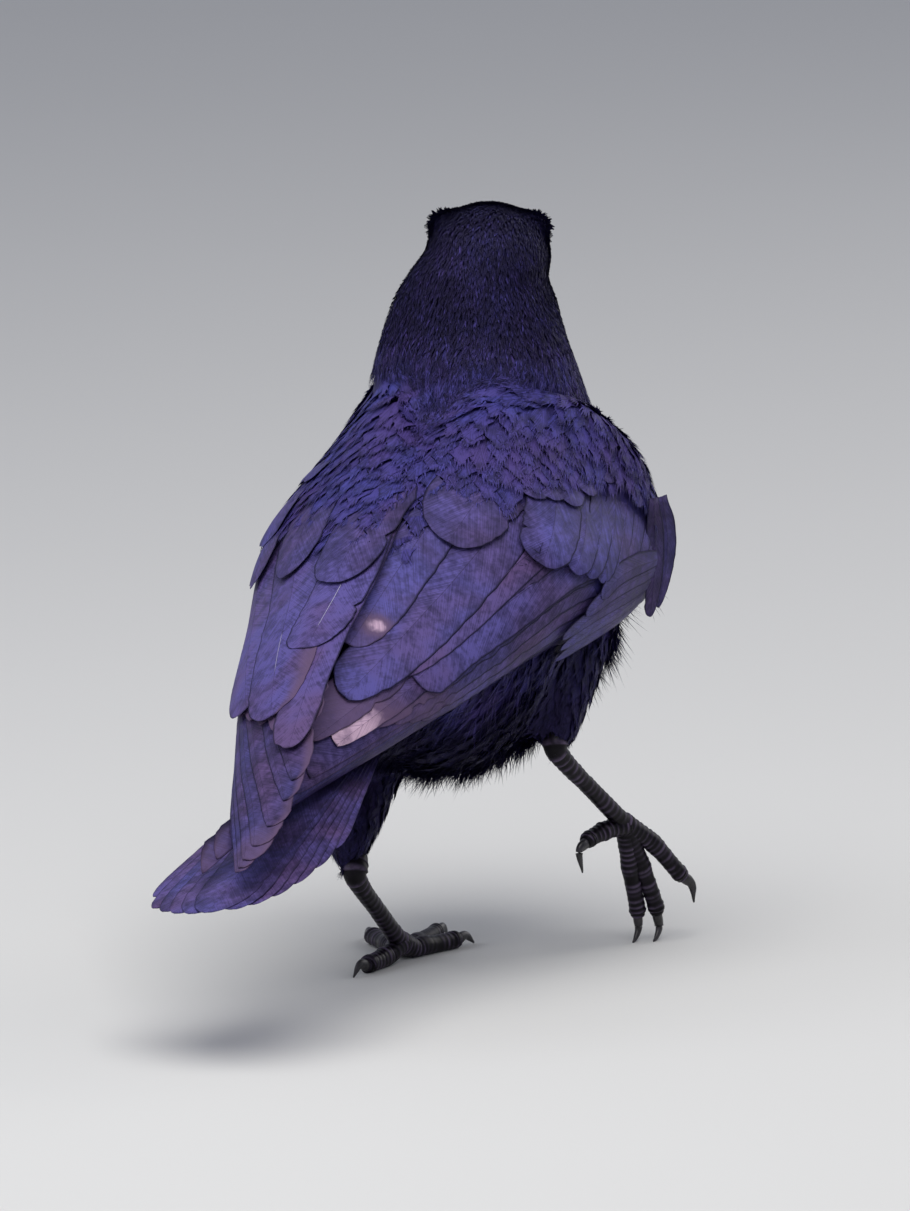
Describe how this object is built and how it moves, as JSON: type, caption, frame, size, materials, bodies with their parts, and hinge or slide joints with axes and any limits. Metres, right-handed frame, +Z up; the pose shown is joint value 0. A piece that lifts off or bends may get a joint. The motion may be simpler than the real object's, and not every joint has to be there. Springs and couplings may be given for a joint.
{
  "type": "carrion crow",
  "caption": "Still life-size black crow in mid stride: wings folded and crossed over a slightly fanned tail, head turned left, one foot flat and the other reaching forward on two claw tips.",
  "frame": {"origin": "on the floor, at the centre of the model's bounding box seen from above", "axes": "+Z up; the body faces -Y, and +X is to the bird's left"},
  "size_m": [0.1475, 0.3526, 0.2845],
  "materials": {
    "body_feathers": "soft black contour feathers with a violet-blue sheen",
    "flight_feathers": "smooth black vanes with a violet-blue gloss, browner where worn",
    "bill": "black horn, satin",
    "claws": "black horn, satin",
    "legs": "black scaled skin, satin",
    "eyes": "very dark brown, wet gloss"
  },
  "bodies": {
    "root": {"bill_lower": "bill", "bill_upper": "bill", "claw_left_hallux": "claws", "claw_left_inner": "claws", "claw_left_middle": "claws", "claw_left_outer": "claws", "claw_right_hallux": "claws", "claw_right_inner": "claws", "claw_right_middle": "claws", "claw_right_outer": "claws", "eye_left": "eyes", "eye_right": "eyes", "foot_left": "legs", "foot_right": "legs", "head": "body_feathers", "neck": "body_feathers", "tail": "flight_feathers", "tarsus_left": "legs", "tarsus_right": "legs", "thigh_left": "body_feathers", "thigh_right": "body_feathers", "trunk": "body_feathers", "wing_left_alula": "flight_feathers", "wing_left_coverts": "flight_feathers", "wing_left_primaries": "flight_feathers", "wing_left_secondaries": "flight_feathers", "wing_right_alula": "flight_feathers", "wing_right_coverts": "flight_feathers", "wing_right_primaries": "flight_feathers", "wing_right_secondaries": "flight_feathers"}
  },
  "joints": []
}
